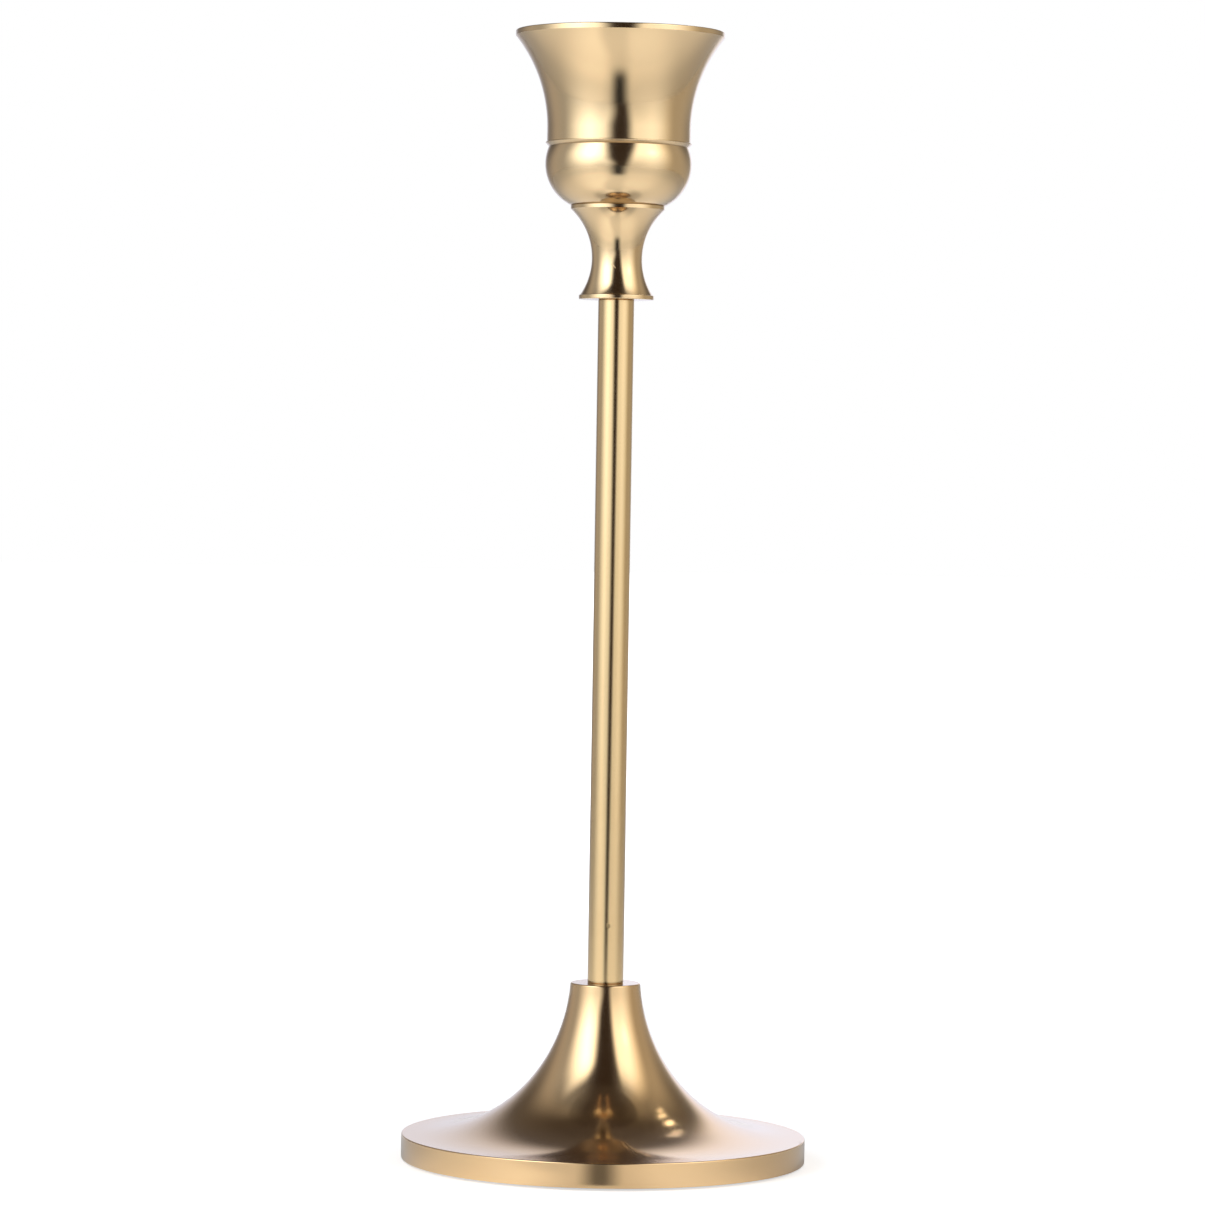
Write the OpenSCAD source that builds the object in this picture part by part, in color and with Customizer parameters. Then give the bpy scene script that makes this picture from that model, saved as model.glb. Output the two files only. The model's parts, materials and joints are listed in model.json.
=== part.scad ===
// Turned brass candlestick: flared foot, straight stem, waisted neck and a bell cup for one taper candle.
// The axis is Z. The origin is on the axis, on the surface that the pad stands on. Sizes are in millimetres.

/* [Foot] */
// Diameter of the foot's disc
foot_d = 90; // [84:0.5:110]
// Height of the disc's upright edge
disc_h = 5.5; // [5:0.1:8]
// Height of the collar above the disc's underside
foot_h = 39.5; // [37:0.1:55]
// Diameter of the collar that the stem stands on
collar_d = 15.6; // [14.5:0.1:18]
// Flat land between the flare and the disc's edge
disc_land = 1.8; // [1.5:0.1:5]
// How far the flare keeps to the collar's direction
flare_drop = 15.8; // [12:0.1:20]
// How far the flare keeps to the disc's direction
flare_reach = 22.6; // [16:0.1:24]
// How far the flare leans out over that drop
collar_lean = 0.85; // [0:0.05:1.5]
// Sheet thickness of the foot
foot_wall = 1.6; // [1.3:0.1:1.9]
// Thickness of the collar's top
collar_top = 2.4; // [2.1:0.1:3.2]
// Rounding of the disc's edges
disc_round = 0.3; // [0.3:0.1:1]
// Rounding of the collar's edge
collar_round = 0.35; // [0.2:0.05:0.8]

/* [Base] */
// Thickness of the pad
pad_t = 1.5; // [1.2:0.1:2.2]
// How far the pad stands out below the disc
pad_proud = 0.4; // [0.2:0.1:1]
// How far the pad's edge lies inside the disc's edge wall
pad_inset = 1.2; // [0.5:0.1:3]
// Thickness of the bottom plate
plate_t = 1; // [0.8:0.1:1.3]
// Length of the threaded sleeve under the collar
sleeve_len = 21; // [20:0.1:22]
// How far the ballast reaches up the sleeve
weight_grip = 8; // [4:0.1:9]

/* [Stem] */
// Outer diameter of the stem tube
stem_d = 8; // [7.6:0.1:9]
// Wall of the stem tube
stem_wall = 1; // [0.8:0.1:1.2]
// Length of the stem tube
stem_len = 152; // [60:0.1:260]
// Length of each plug inside the tube
plug_len = 12; // [8:0.5:25]

/* [Neck] */
// Height of the neck
neck_h = 20.9; // [20.5:0.1:25]
// Diameter of the neck's waist
waist_d = 11.2; // [10:0.1:13]
// Height of the waist above the neck's underside
waist_h = 9.1; // [7:0.1:12]
// Diameter of the neck's foot
flange_d = 16.7; // [15:0.1:18]
// Upright edge of the neck's foot
flange_edge = 1; // [0.7:0.1:1.4]
// Ledge between that edge and the hollow
flange_ledge = 0.25; // [0.25:0.05:0.6]
// Diameter of the neck's top
ring_d = 20.9; // [18:0.1:21.4]
// Upright edge of the neck's top
ring_edge = 0.9; // [0.6:0.1:1.3]
// Rounding of the neck's edges
neck_round = 0.2; // [0.1:0.05:0.2]

/* [Cup] */
// Diameter of the rim
rim_d = 46.4; // [40:0.1:56]
// Height of the cup
cup_h = 38.5; // [36:0.1:48]
// Upright edge of the rim
rim_edge = 1.2; // [1:0.1:1.6]
// Diameter of the bell at its foot
bell_d = 31.9; // [31:0.1:33]
// Height of the bell's foot above the ledge
bell_rise = 3.1; // [1.5:0.1:4]
// How far the ledge stands out from the bell's foot
ledge_proud = 0.3; // [0.15:0.05:0.6]
// Height of the ledge above the groove
ledge_rise = 0.8; // [0.6:0.1:1.8]
// Diameter of the bowl
bowl_d = 32.5; // [31.8:0.1:34]
// Height of the bowl's widest place
bowl_h = 9.1; // [8.6:0.1:9.4]
// Diameter of the bowl where it meets the neck
bowl_foot_d = 21.2; // [21:0.1:22]
// Height of the groove between ledge and bowl
groove_h = 12.9; // [12.2:0.1:13.3]
// Sheet thickness of the cup
cup_wall = 1.1; // [0.9:0.05:1.2]
// Thickness of the cup's floor
cup_floor = 1.2; // [1:0.1:1.5]

/* [Candle socket] */
// Diameter of the candle
candle_d = 22; // [20:0.1:22.4]
// Room round the candle
candle_gap = 0.2; // [0.1:0.05:0.3]
// Sheet thickness of the socket
socket_wall = 0.8; // [0.6:0.05:0.9]
// Height of the socket
socket_h = 25; // [22:0.1:27]
// How far the candle's straight bore starts above the cup screw's head
bore_rise = 0.3; // [0.3:0.1:1]

/* [Fasteners] */
// Thread of the studs and of the cup screw
thread_d = 4; // [3.8:0.05:4.1]
// Length of each stud outside its plug
stud_len = 10; // [8:0.1:10.4]
// Length of the cup screw under its head
screw_len = 10; // [8:0.1:10.5]
// Diameter of the cup screw's head
screw_head_d = 8; // [7.2:0.1:9]
// Height of the cup screw's head
screw_head_h = 3.1; // [2.6:0.1:3.6]
// Width of each arm of the cup screw's cross
cross_w = 1; // [0.7:0.1:1.4]
// Length of each arm of the cup screw's cross, from end to end
cross_l = 4.4; // [3.5:0.1:5]
// Depth of the cup screw's cross
cross_depth = 1.7; // [1:0.1:2]
// Diameter of the spring washers
washer_d = 7; // [6.4:0.1:7.2]
// Thickness of the spring washers
washer_t = 1.2; // [0.8:0.1:1.3]
// Thread of the tie bolt
tie_d = 6; // [5:0.1:6.2]
// How far the tie bolt screws into the sleeve
tie_grip = 8; // [5:0.1:8.5]
// Width across the flats of the tie bolt's head
tie_flats = 10; // [9:0.1:11]
// Height of the tie bolt's head
tie_head_h = 4; // [3:0.1:4.5]
// Diameter of the tie bolt's washer
tie_washer_d = 9.9; // [9:0.1:11]
// Thickness of the tie bolt's washer
tie_washer_t = 1.6; // [1:0.1:1.8]
// Room round the tie bolt's washer for a spanner
spanner_room = 3; // [2:0.1:5]
// Bevel on the end of each stud
stud_bevel = 0.4; // [0.2:0.05:0.7]
// Cut through a spring washer
washer_split = 0.6; // [0.3:0.1:1]

/* [Fits] */
// Radial room in a screw thread
thread_gap = 0.05; // [0.02:0.01:0.08]
// Room between pieces that slip together
slip_gap = 0.15; // [0.1:0.05:0.25]
// Room of a pressed plug
press_gap = 0.03; // [0.01:0.01:0.05]
// Room for a screw in a plain hole
hole_gap = 0.25; // [0.15:0.05:0.4]
// Room beyond a screw's end
end_gap = 0.8; // [0.4:0.1:1]
// Room round the threaded sleeve, filled with braze
braze_gap = 0.75; // [0.4:0.05:1]

/* [Hidden] */
$fn = 96;

// Steps of a long curve and of a small rounding
curve_steps = 28;
round_steps = 5;
// Overlap of a cut beyond the face that it opens
cut = 1;

// Heights, from the floor up
disc_z = pad_proud + disc_h;
collar_z = pad_proud + foot_h;
collar_under_z = collar_z - collar_top;
sleeve_z = collar_under_z - sleeve_len;
plate_z = pad_t + plate_t;
tie_seat_z = pad_t + tie_head_h + tie_washer_t + end_gap;
dimple_z = tie_seat_z + plate_t;
stem_top_z = collar_z + stem_len;
cup_z = stem_top_z + neck_h;
socket_z = cup_z + cup_floor;
screw_seat_z = socket_z + socket_wall + washer_t;

// How far the cup screw reaches into the neck
screw_reach = screw_len - (screw_seat_z - cup_z);

// Radii
foot_r = foot_d / 2;
collar_r = collar_d / 2;
flare_r = foot_r - disc_land;
inner_foot_r = foot_r - foot_wall;
sleeve_r = collar_r - foot_wall - braze_gap;
dimple_r = tie_washer_d / 2 + spanner_room;
stem_r = stem_d / 2;
stem_bore_r = stem_r - stem_wall;
thread_r = thread_d / 2;
washer_seat_r = washer_d / 2 + slip_gap;
candle_bore_r = candle_d / 2 + candle_gap;

// Outer bend of the socket's bottom corner, which ends above the screw's head
socket_bend = socket_wall + washer_t + screw_head_h + bore_rise;

// Points of an arc about a centre, from one angle to another
function arc(centre, r, from, to, steps) =
    [for (i = [0:steps]) let (angle = from + (to - from) * i / steps) centre + r * [cos(angle), sin(angle)]];

// Radius of the arc that leaves an upright line and moves sideways by dr over a height dz
function arc_radius(dr, dz) = (dr * dr + dz * dz) / (2 * dr);

// The foot's flare: a cubic curve from the collar down to the disc, moved inwards by a distance
flare = [
    [collar_r, collar_z],
    [collar_r + collar_lean, collar_z - flare_drop],
    [flare_r - flare_reach, disc_z],
    [flare_r, disc_z]
];
function flare_point(t) =
    pow(1 - t, 3) * flare[0] + 3 * t * pow(1 - t, 2) * flare[1]
    + 3 * t * t * (1 - t) * flare[2] + pow(t, 3) * flare[3];
function flare_slope(t) =
    pow(1 - t, 2) * (flare[1] - flare[0]) + 2 * t * (1 - t) * (flare[2] - flare[1])
    + t * t * (flare[3] - flare[2]);
function flare_inside(t, distance) =
    let (slope = flare_slope(t))
    flare_point(t) + distance * [slope.y, -slope.x] / norm(slope);
function flare_line(distance) =
    [for (i = [curve_steps:-1:0]) flare_inside(i / curve_steps, distance)];

// The bell's flare is one arc that leaves the upright line of the bell's foot
ledge_h = groove_h + ledge_rise;
bell_h = ledge_h + bell_rise;
bell_r = bell_d / 2;
bell_arc_r = arc_radius(rim_d / 2 - bell_r, cup_h - rim_edge - bell_h);
bell_centre = [bell_r + bell_arc_r, bell_h];
function bell_inside(z) = bell_centre.x - sqrt(pow(bell_arc_r + cup_wall, 2) - pow(z - bell_h, 2));

// The space under the flare, a distance inside it, between two heights
module flare_inner(distance, low, high) {
    edge = [for (p = flare_line(distance)) if (p.y < high && p.y > low) p];
    r = foot_r - distance;
    top_r = max([for (p = flare_line(distance)) if (p.y >= high) p.x]);
    outline = concat([[0, low], [r, low], [r, disc_z - distance]], edge, [[top_r, high], [0, high]]);
    rotate_extrude() polygon(outline);
}

// A spring washer lying on a height, cut through at one side
module spring_washer(outer_d, bore_r, thickness, z) {
    translate([0, 0, z]) difference() {
        cylinder(d = outer_d, h = thickness);
        translate([0, 0, -cut]) cylinder(r = bore_r, h = thickness + 2 * cut);
        translate([0, -washer_split / 2, -cut]) cube([outer_d, washer_split, thickness + 2 * cut]);
    }
}

// A plug with a threaded stud on its end. The stud points up
module stud() {
    translate([0, 0, -plug_len]) cylinder(r = stem_bore_r - press_gap, h = plug_len);
    cylinder(r = thread_r, h = stud_len - stud_bevel);
    translate([0, 0, stud_len - stud_bevel])
        cylinder(r1 = thread_r, r2 = thread_r - stud_bevel, h = stud_bevel);
}

// A blind hole for a stud or screw, opening downwards at the origin
module thread_hole(r, depth) {
    translate([0, 0, -cut]) cylinder(r = r + thread_gap, h = depth + cut);
}

module foot_shell() {
    outline = concat(
        [[0, pad_proud]],
        arc([foot_r - disc_round, pad_proud + disc_round], disc_round, -90, 0, round_steps),
        arc([foot_r - disc_round, disc_z - disc_round], disc_round, 0, 90, round_steps),
        [for (p = flare_line(0)) if (p.y < collar_z - collar_round) p],
        arc([collar_r - collar_round, collar_z - collar_round], collar_round, 0, 90, round_steps),
        [[0, collar_z]]
    );
    color("goldenrod") difference() {
        rotate_extrude() polygon(outline);
        flare_inner(foot_wall, pad_proud - cut, collar_under_z);
        translate([0, 0, collar_z - washer_t]) cylinder(r = washer_seat_r, h = washer_t + cut);
        translate([0, 0, collar_under_z - cut]) cylinder(r = thread_r + hole_gap, h = collar_top + cut);
    }
}

module foot_socket() {
    color("silver") difference() {
        translate([0, 0, sleeve_z]) cylinder(r = sleeve_r, h = sleeve_len);
        translate([0, 0, collar_under_z]) rotate([180, 0, 0])
            thread_hole(thread_r, stud_len - collar_top + end_gap);
        translate([0, 0, sleeve_z]) thread_hole(tie_d / 2, tie_grip + end_gap);
    }
}

module foot_weight() {
    color("dimgray") difference() {
        flare_inner(foot_wall + slip_gap, plate_z, sleeve_z + weight_grip);
        translate([0, 0, plate_z - cut]) cylinder(r = dimple_r + slip_gap, h = dimple_z - plate_z + cut);
        translate([0, 0, plate_z]) cylinder(r = tie_d / 2 + hole_gap, h = sleeve_z);
        translate([0, 0, sleeve_z]) cylinder(r = sleeve_r + slip_gap, h = weight_grip + cut);
    }
}

module bottom_plate() {
    color("lightgray") difference() {
        union() {
            translate([0, 0, pad_t]) cylinder(r = inner_foot_r - slip_gap, h = plate_t);
            translate([0, 0, pad_t]) cylinder(r = dimple_r, h = dimple_z - pad_t);
        }
        translate([0, 0, pad_t - cut]) cylinder(r = dimple_r - plate_t, h = tie_seat_z - pad_t + cut);
        translate([0, 0, pad_t]) cylinder(r = tie_d / 2 + hole_gap, h = dimple_z);
    }
}

module tie_bolt() {
    head_z = tie_seat_z - tie_washer_t - tie_head_h;
    color("silver") {
        translate([0, 0, head_z]) cylinder(d = tie_flats / cos(30), h = tie_head_h, $fn = 6);
        translate([0, 0, head_z]) cylinder(d = tie_d, h = sleeve_z + tie_grip - head_z);
    }
}

module tie_washer() {
    color("gray") spring_washer(tie_washer_d, tie_d / 2 + slip_gap, tie_washer_t, tie_seat_z - tie_washer_t);
}

module base_pad() {
    color("black") cylinder(r = inner_foot_r - pad_inset, h = pad_t);
}

module lower_washer() {
    color("gray") spring_washer(washer_d, thread_r + thread_gap, washer_t, collar_z - washer_t);
}

module stem_tube() {
    color("goldenrod") translate([0, 0, collar_z]) difference() {
        cylinder(r = stem_r, h = stem_len);
        translate([0, 0, -cut]) cylinder(r = stem_bore_r, h = stem_len + 2 * cut);
    }
}

module lower_stud() {
    color("silver") translate([0, 0, collar_z]) rotate([180, 0, 0]) stud();
}

module upper_stud() {
    color("silver") translate([0, 0, stem_top_z]) stud();
}

module upper_washer() {
    color("gray") spring_washer(washer_d, thread_r + thread_gap, washer_t, stem_top_z);
}

module neck() {
    flange_r = flange_d / 2;
    ring_r = ring_d / 2;
    waist_r = waist_d / 2;
    hollow_low = [flange_r - flange_ledge, flange_edge];
    hollow_high = [ring_r, neck_h - ring_edge];
    low_r = arc_radius(hollow_low.x - waist_r, waist_h - hollow_low.y);
    low_angle = asin((waist_h - hollow_low.y) / low_r);
    high_r = arc_radius(hollow_high.x - waist_r, hollow_high.y - waist_h);
    high_angle = asin((hollow_high.y - waist_h) / high_r);
    outline = concat(
        [[0, 0]],
        arc([flange_r - neck_round, neck_round], neck_round, -90, 0, round_steps),
        arc([flange_r - neck_round, flange_edge - neck_round], neck_round, 0, 90, round_steps),
        arc([waist_r + low_r, waist_h], low_r, 180 + low_angle, 180, curve_steps / 2),
        arc([waist_r + high_r, waist_h], high_r, 180, 180 - high_angle, curve_steps),
        arc([ring_r - neck_round, neck_h - neck_round], neck_round, 0, 90, round_steps),
        [[0, neck_h]]
    );
    color("goldenrod") translate([0, 0, stem_top_z]) difference() {
        rotate_extrude() polygon(outline);
        thread_hole(thread_r, stud_len + end_gap);
        thread_hole(washer_seat_r - thread_gap, washer_t);
        translate([0, 0, neck_h]) rotate([180, 0, 0]) thread_hole(thread_r, screw_reach + end_gap);
    }
}

module candle_cup() {
    rim_r = rim_d / 2;
    ledge_round = ledge_proud / 2;
    bowl_arc_r = arc_radius((bowl_d - bowl_foot_d) / 2, bowl_h);
    bowl_centre = [bowl_d / 2 - bowl_arc_r, bowl_h];
    bowl_top_angle = asin((groove_h - bowl_h) / bowl_arc_r);
    inner_arc_r = bowl_arc_r - cup_wall;
    flare_angle = asin((cup_h - rim_edge - bell_h) / bell_arc_r);
    rim_round = cup_wall / 4;
    outside = concat(
        arc(bowl_centre, bowl_arc_r, -asin(bowl_h / bowl_arc_r), bowl_top_angle, curve_steps),
        arc([bell_r + ledge_proud - ledge_round, ledge_h], ledge_round, -45, 90, round_steps),
        arc(bell_centre, bell_arc_r, 180, 180 - flare_angle, curve_steps),
        arc([rim_r - rim_round, cup_h - rim_round], rim_round, 0, 90, round_steps)
    );
    inside = concat(
        [for (z = [cup_h:(bell_h - cup_h) / curve_steps:bell_h]) [bell_inside(z), z]],
        arc(bowl_centre, inner_arc_r, bowl_top_angle, -asin((bowl_h - cup_floor) / inner_arc_r), curve_steps)
    );
    color("goldenrod") translate([0, 0, cup_z]) difference() {
        rotate_extrude() polygon(concat([[0, 0]], outside, inside, [[0, cup_floor]]));
        translate([0, 0, -cut]) cylinder(r = thread_r + hole_gap, h = cup_floor + 2 * cut);
    }
}

module socket_cup() {
    outer_r = candle_bore_r + socket_wall;
    flange_z = socket_h - socket_wall;
    flange_r = bell_inside(cup_floor + flange_z) - slip_gap;
    mouth_round = socket_wall / 2;
    outline = concat(
        [[0, 0]],
        arc([outer_r - socket_bend, socket_bend], socket_bend, -90, 0, round_steps),
        [[outer_r, flange_z], [flange_r, flange_z], [flange_r, socket_h]],
        arc([candle_bore_r + mouth_round, socket_h - mouth_round], mouth_round, 90, 180, round_steps),
        arc([outer_r - socket_bend, socket_bend], socket_bend - socket_wall, 0, -90, round_steps),
        [[0, socket_wall]]
    );
    color("goldenrod") translate([0, 0, socket_z]) difference() {
        rotate_extrude() polygon(outline);
        translate([0, 0, -cut]) cylinder(r = thread_r + hole_gap, h = socket_wall + 2 * cut);
    }
}

module cup_screw() {
    head_r = screw_head_d / 2;
    head_round = screw_head_h / 2;
    outline = concat(
        [[0, 0], [head_r, 0]],
        arc([head_r - head_round, screw_head_h - head_round], head_round, 0, 90, round_steps),
        [[0, screw_head_h]]
    );
    color("silver") translate([0, 0, screw_seat_z]) {
        difference() {
            rotate_extrude() polygon(outline);
            for (turn = [0, 90])
                rotate([0, 0, turn]) translate([-cross_l / 2, -cross_w / 2, screw_head_h - cross_depth])
                    cube([cross_l, cross_w, cross_depth + cut]);
        }
        translate([0, 0, -screw_len]) cylinder(r = thread_r, h = screw_len);
    }
}

module cup_washer() {
    color("gray") spring_washer(washer_d, thread_r + slip_gap, washer_t, screw_seat_z - washer_t);
}

foot_shell();
foot_socket();
foot_weight();
bottom_plate();
tie_bolt();
tie_washer();
base_pad();
lower_washer();
stem_tube();
lower_stud();
upper_stud();
upper_washer();
neck();
candle_cup();
socket_cup();
cup_screw();
cup_washer();
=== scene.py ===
"""Dresses the packed brass candlestick: turned brass, steel fasteners and a rubber pad, in a light tent."""

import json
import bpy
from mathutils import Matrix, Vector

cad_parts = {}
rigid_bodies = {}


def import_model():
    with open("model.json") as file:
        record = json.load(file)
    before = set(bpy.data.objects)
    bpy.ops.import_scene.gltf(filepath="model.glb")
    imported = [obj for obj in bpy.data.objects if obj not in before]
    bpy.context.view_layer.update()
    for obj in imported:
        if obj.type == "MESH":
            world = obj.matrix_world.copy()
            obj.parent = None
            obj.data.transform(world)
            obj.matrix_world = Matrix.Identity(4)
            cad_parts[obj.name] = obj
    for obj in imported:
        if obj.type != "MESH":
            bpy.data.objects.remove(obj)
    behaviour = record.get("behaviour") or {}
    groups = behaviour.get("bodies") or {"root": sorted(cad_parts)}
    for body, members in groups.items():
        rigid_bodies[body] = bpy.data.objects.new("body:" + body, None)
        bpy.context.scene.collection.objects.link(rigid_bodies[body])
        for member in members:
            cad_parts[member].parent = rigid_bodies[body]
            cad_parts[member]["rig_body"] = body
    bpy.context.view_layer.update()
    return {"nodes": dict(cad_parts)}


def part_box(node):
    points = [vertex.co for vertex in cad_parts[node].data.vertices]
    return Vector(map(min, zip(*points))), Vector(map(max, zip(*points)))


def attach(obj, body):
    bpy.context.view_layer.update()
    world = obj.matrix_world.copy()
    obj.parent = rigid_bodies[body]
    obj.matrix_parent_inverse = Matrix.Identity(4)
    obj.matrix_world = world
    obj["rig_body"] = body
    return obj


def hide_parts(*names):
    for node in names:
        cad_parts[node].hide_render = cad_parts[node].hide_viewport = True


bl_info = {
    "name": "Brass candlestick",
    "version": (1, 0, 0),
    "blender": (4, 5, 0),
    "location": "3D View > Sidebar > Candlestick",
    "description": "Makes the turned pieces, fasteners and finishes of a brass candlestick, and its stage",
    "category": "Add Mesh",
}

from math import asin, cos, degrees, hypot, pi, radians, sin, sqrt

import bpy
from bpy.props import FloatProperty, FloatVectorProperty, PointerProperty
from mathutils import Quaternion, Vector

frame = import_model()

MM = 0.001
FOOT_LOW, FOOT_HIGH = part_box("foot_shell")
STEM_LOW, STEM_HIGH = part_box("stem_tube")
NECK_LOW, NECK_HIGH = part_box("neck")
CUP_LOW, CUP_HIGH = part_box("candle_cup")
SOCKET_LOW, SOCKET_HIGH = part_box("socket_cup")
PAD_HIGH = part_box("base_pad")[1]
WASHER_LOW, WASHER_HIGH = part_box("lower_washer")

# Steps round a full turn, along a long curve and round a small edge
TURN_STEPS = 256
CURVE_STEPS = 56
EDGE_STEPS = 8
# Steps round a stud, round one turn of its thread and round a spring washer
STUD_STEPS = 64
THREAD_STEPS = 32
WASHER_STEPS = 72
# Edges that bend by more than this, in degrees, stay sharp
SHARP_ANGLE = 30
# Distance of the extra points that hold a straight line straight beside a rounded edge
HOLD = 0.06 * MM
# Points nearer than this are one point
JOIN_GAP = 0.004 * MM
# How far the foot of the thread lies inside the stud's core
THREAD_SUNK = 0.03 * MM

# Marks in the polish: a line's start, end and reach in millimetres, and how deep, light and dull it is
NICK = ((-1.1, -5.5, 199.5), (-0.3, -5.6, 198.7), 0.27, 3.0, 1.15, 0.35)
SCRATCH = ((4.85, -29.79, 8.08), (7.18, -34.54, 6.59), 0.2, 3.0, 0.6, 0.15)
SPECK = ((43.6, -8.9, 5.9), (43.8, -8.7, 5.9), 0.35, 5.0, 0.15, 0.5)
PIT = ((0.47, -3.97, 52.8), (0.47, -3.97, 53.0), 0.52, 8.0, 0.5, 0.15)

# Roughness of the lacquer on the brass
LACQUER_ROUGHNESS = 0.24

# Bright panes in the tent: the angles and heights that each lies between, and its brightness
PANES = (
    (124.5, 130, 1.33, 1.62, 1.2),
    (131, 136.5, 1.33, 1.68, 1.7),
    (141.5, 147.5, 1.21, 1.46, 3.2),
    (153, 161.5, 1.03, 1.26, 0.95),
)
# Share of the tent's light that a mirror shows in another mirror, and the roof's light there
SECOND_MIRROR = 0.5
SECOND_ROOF = 0.15
# How far the floor lies below the pad, and how far it reaches from the axis
FLOOR_DROP = 0.0002
FLOOR_REACH = 6.0
# How far the camera aims beside the axis, its roll in degrees and its sensor in millimetres
AIM_ASIDE = -0.002
CAMERA_ROLL = 0.92
SENSOR_WIDTH = 36.0


def length(name, description, default):
    """A property that holds a length in metres."""
    return FloatProperty(
        name=name, description=description, default=default, min=0.0, precision=5, unit="LENGTH"
    )


def share(name, description, default):
    """A property that holds a plain number."""
    return FloatProperty(name=name, description=description, default=default, min=0.0, precision=3)


def colour(name, description, default):
    """A property that holds a colour."""
    return FloatVectorProperty(
        name=name, description=description, default=default, min=0.0, max=1.0, size=3, subtype="COLOR"
    )


class FootSizes(bpy.types.PropertyGroup):
    """Sizes of the flared foot"""

    disc_radius: length("Disc radius", "Radius of the foot's disc", FOOT_HIGH.x)
    underside: length("Underside", "Height of the disc's underside", FOOT_LOW.z)
    collar_height: length("Collar height", "Height of the collar that the stem stands on", FOOT_HIGH.z)
    disc_edge: length("Disc edge", "Height of the disc's upright edge", 5.5 * MM)
    land: length("Land", "Flat land between the flare and the disc's edge", 1.8 * MM)
    collar_radius: length("Collar radius", "Radius of the collar", 7.8 * MM)
    flare_drop: length("Flare drop", "How far the flare keeps to the collar's direction", 15.8 * MM)
    flare_reach: length("Flare reach", "How far the flare keeps to the disc's direction", 22.6 * MM)
    collar_lean: length("Collar lean", "How far the flare leans out over its drop", 0.85 * MM)
    wall: length("Wall", "Sheet thickness of the foot", 1.6 * MM)
    collar_top: length("Collar top", "Thickness of the collar's top", 2.4 * MM)
    disc_round: length("Disc rounding", "Rounding of the disc's edges", 0.3 * MM)
    collar_round: length("Collar rounding", "Rounding of the collar's edge", 0.35 * MM)
    hole_radius: length("Hole radius", "Radius of the stud's hole in the collar", 2.25 * MM)


class StemSizes(bpy.types.PropertyGroup):
    """Sizes of the stem tube"""

    radius: length("Radius", "Outer radius of the stem", STEM_HIGH.x)
    foot: length("Foot", "Height of the stem's lower end", STEM_LOW.z)
    top: length("Top", "Height of the stem's upper end", STEM_HIGH.z)
    wall: length("Wall", "Wall of the stem tube", 1.0 * MM)
    edge_bevel: length("Edge bevel", "Bevel on the tube's ends", 0.12 * MM)


class NeckSizes(bpy.types.PropertyGroup):
    """Sizes of the waisted neck"""

    foot: length("Foot", "Height of the neck's underside", NECK_LOW.z)
    top: length("Top", "Height of the neck's top", NECK_HIGH.z)
    ring_radius: length("Ring radius", "Radius of the neck's top", NECK_HIGH.x)
    ring_edge: length("Ring edge", "Upright edge of the neck's top", 0.9 * MM)
    waist_radius: length("Waist radius", "Radius of the neck's waist", 5.6 * MM)
    waist_height: length("Waist height", "Height of the waist above the underside", 9.1 * MM)
    flange_radius: length("Flange radius", "Radius of the neck's foot", 8.35 * MM)
    flange_edge: length("Flange edge", "Upright edge of the neck's foot", 1.0 * MM)
    flange_ledge: length("Flange ledge", "Ledge between that edge and the hollow", 0.25 * MM)
    edge_round: length("Edge rounding", "Rounding of the neck's edges", 0.2 * MM)
    stud_depth: length("Stud hole depth", "Depth of the hole for the stem's stud", 10.8 * MM)
    screw_depth: length("Screw hole depth", "Depth of the hole for the cup's screw", 7.6 * MM)


class CupSizes(bpy.types.PropertyGroup):
    """Sizes of the bell cup"""

    foot: length("Foot", "Height of the cup's underside", CUP_LOW.z)
    rim: length("Rim", "Height of the rim", CUP_HIGH.z)
    rim_radius: length("Rim radius", "Radius of the rim", CUP_HIGH.x)
    rim_edge: length("Rim edge", "Upright edge of the rim", 1.2 * MM)
    bell_radius: length("Bell radius", "Radius of the bell at its foot", 15.95 * MM)
    bell_height: length("Bell height", "Height of the bell's foot above the underside", 16.8 * MM)
    ledge_height: length("Ledge height", "Height of the ledge above the underside", 13.7 * MM)
    ledge_proud: length("Ledge", "How far the ledge stands out from the bell", 0.3 * MM)
    groove_height: length("Groove height", "Height of the groove between ledge and bowl", 12.9 * MM)
    bowl_radius: length("Bowl radius", "Radius of the bowl", 16.25 * MM)
    bowl_height: length("Bowl height", "Height of the bowl's widest place", 9.1 * MM)
    bowl_foot: length("Bowl foot", "Radius of the bowl where it meets the neck", 10.6 * MM)
    wall: length("Wall", "Sheet thickness of the cup", 1.1 * MM)
    floor: length("Floor", "Thickness of the cup's floor", 1.2 * MM)
    hole_radius: length("Hole radius", "Radius of the screw's hole", 2.25 * MM)


class SocketSizes(bpy.types.PropertyGroup):
    """Sizes of the candle socket inside the cup"""

    foot: length("Foot", "Height of the socket's underside", SOCKET_LOW.z)
    mouth: length("Mouth", "Height of the socket's mouth", SOCKET_HIGH.z)
    flange_radius: length("Flange radius", "Radius of the socket's flange", SOCKET_HIGH.x)
    bore_radius: length("Bore radius", "Radius of the candle's bore", 11.2 * MM)
    wall: length("Wall", "Sheet thickness of the socket", 0.8 * MM)
    bend: length("Bend", "Outer radius of the socket's bottom bend", 5.4 * MM)
    hole_radius: length("Hole radius", "Radius of the screw's hole", 2.25 * MM)


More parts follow.
